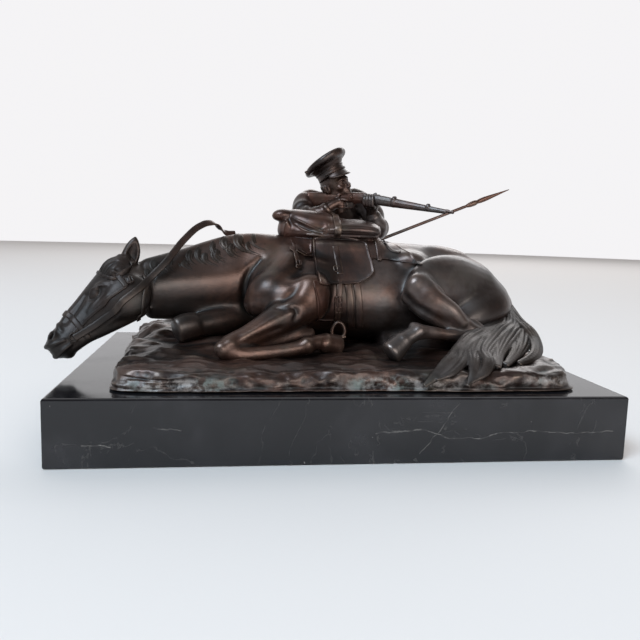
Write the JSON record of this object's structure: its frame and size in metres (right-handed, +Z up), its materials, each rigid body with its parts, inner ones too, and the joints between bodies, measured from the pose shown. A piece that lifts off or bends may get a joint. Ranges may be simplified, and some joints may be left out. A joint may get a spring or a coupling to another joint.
{
  "type": "bronze sculpture",
  "caption": "Table bronze of a trooper in a peaked cap aiming a carbine across a lying cavalry horse, on broken ground and a polished black marble slab.",
  "frame": {"origin": "centre of the marble slab's underside, where the piece stands", "axes": "+X from the horse's head towards its tail, +Y from the front of the group towards the kneeling trooper behind the horse, +Z up"},
  "size_m": [0.4172, 0.28, 0.2302],
  "materials": {
    "marble": "polished black marble with thin pale veins",
    "bronze": "dark brown patina, rubbed lighter on the high points"
  },
  "bodies": {
    "root": {"marble_plinth": "marble", "bronze_group": "bronze", "carbine": "bronze", "lance": "bronze", "rein": "bronze"}
  },
  "joints": []
}
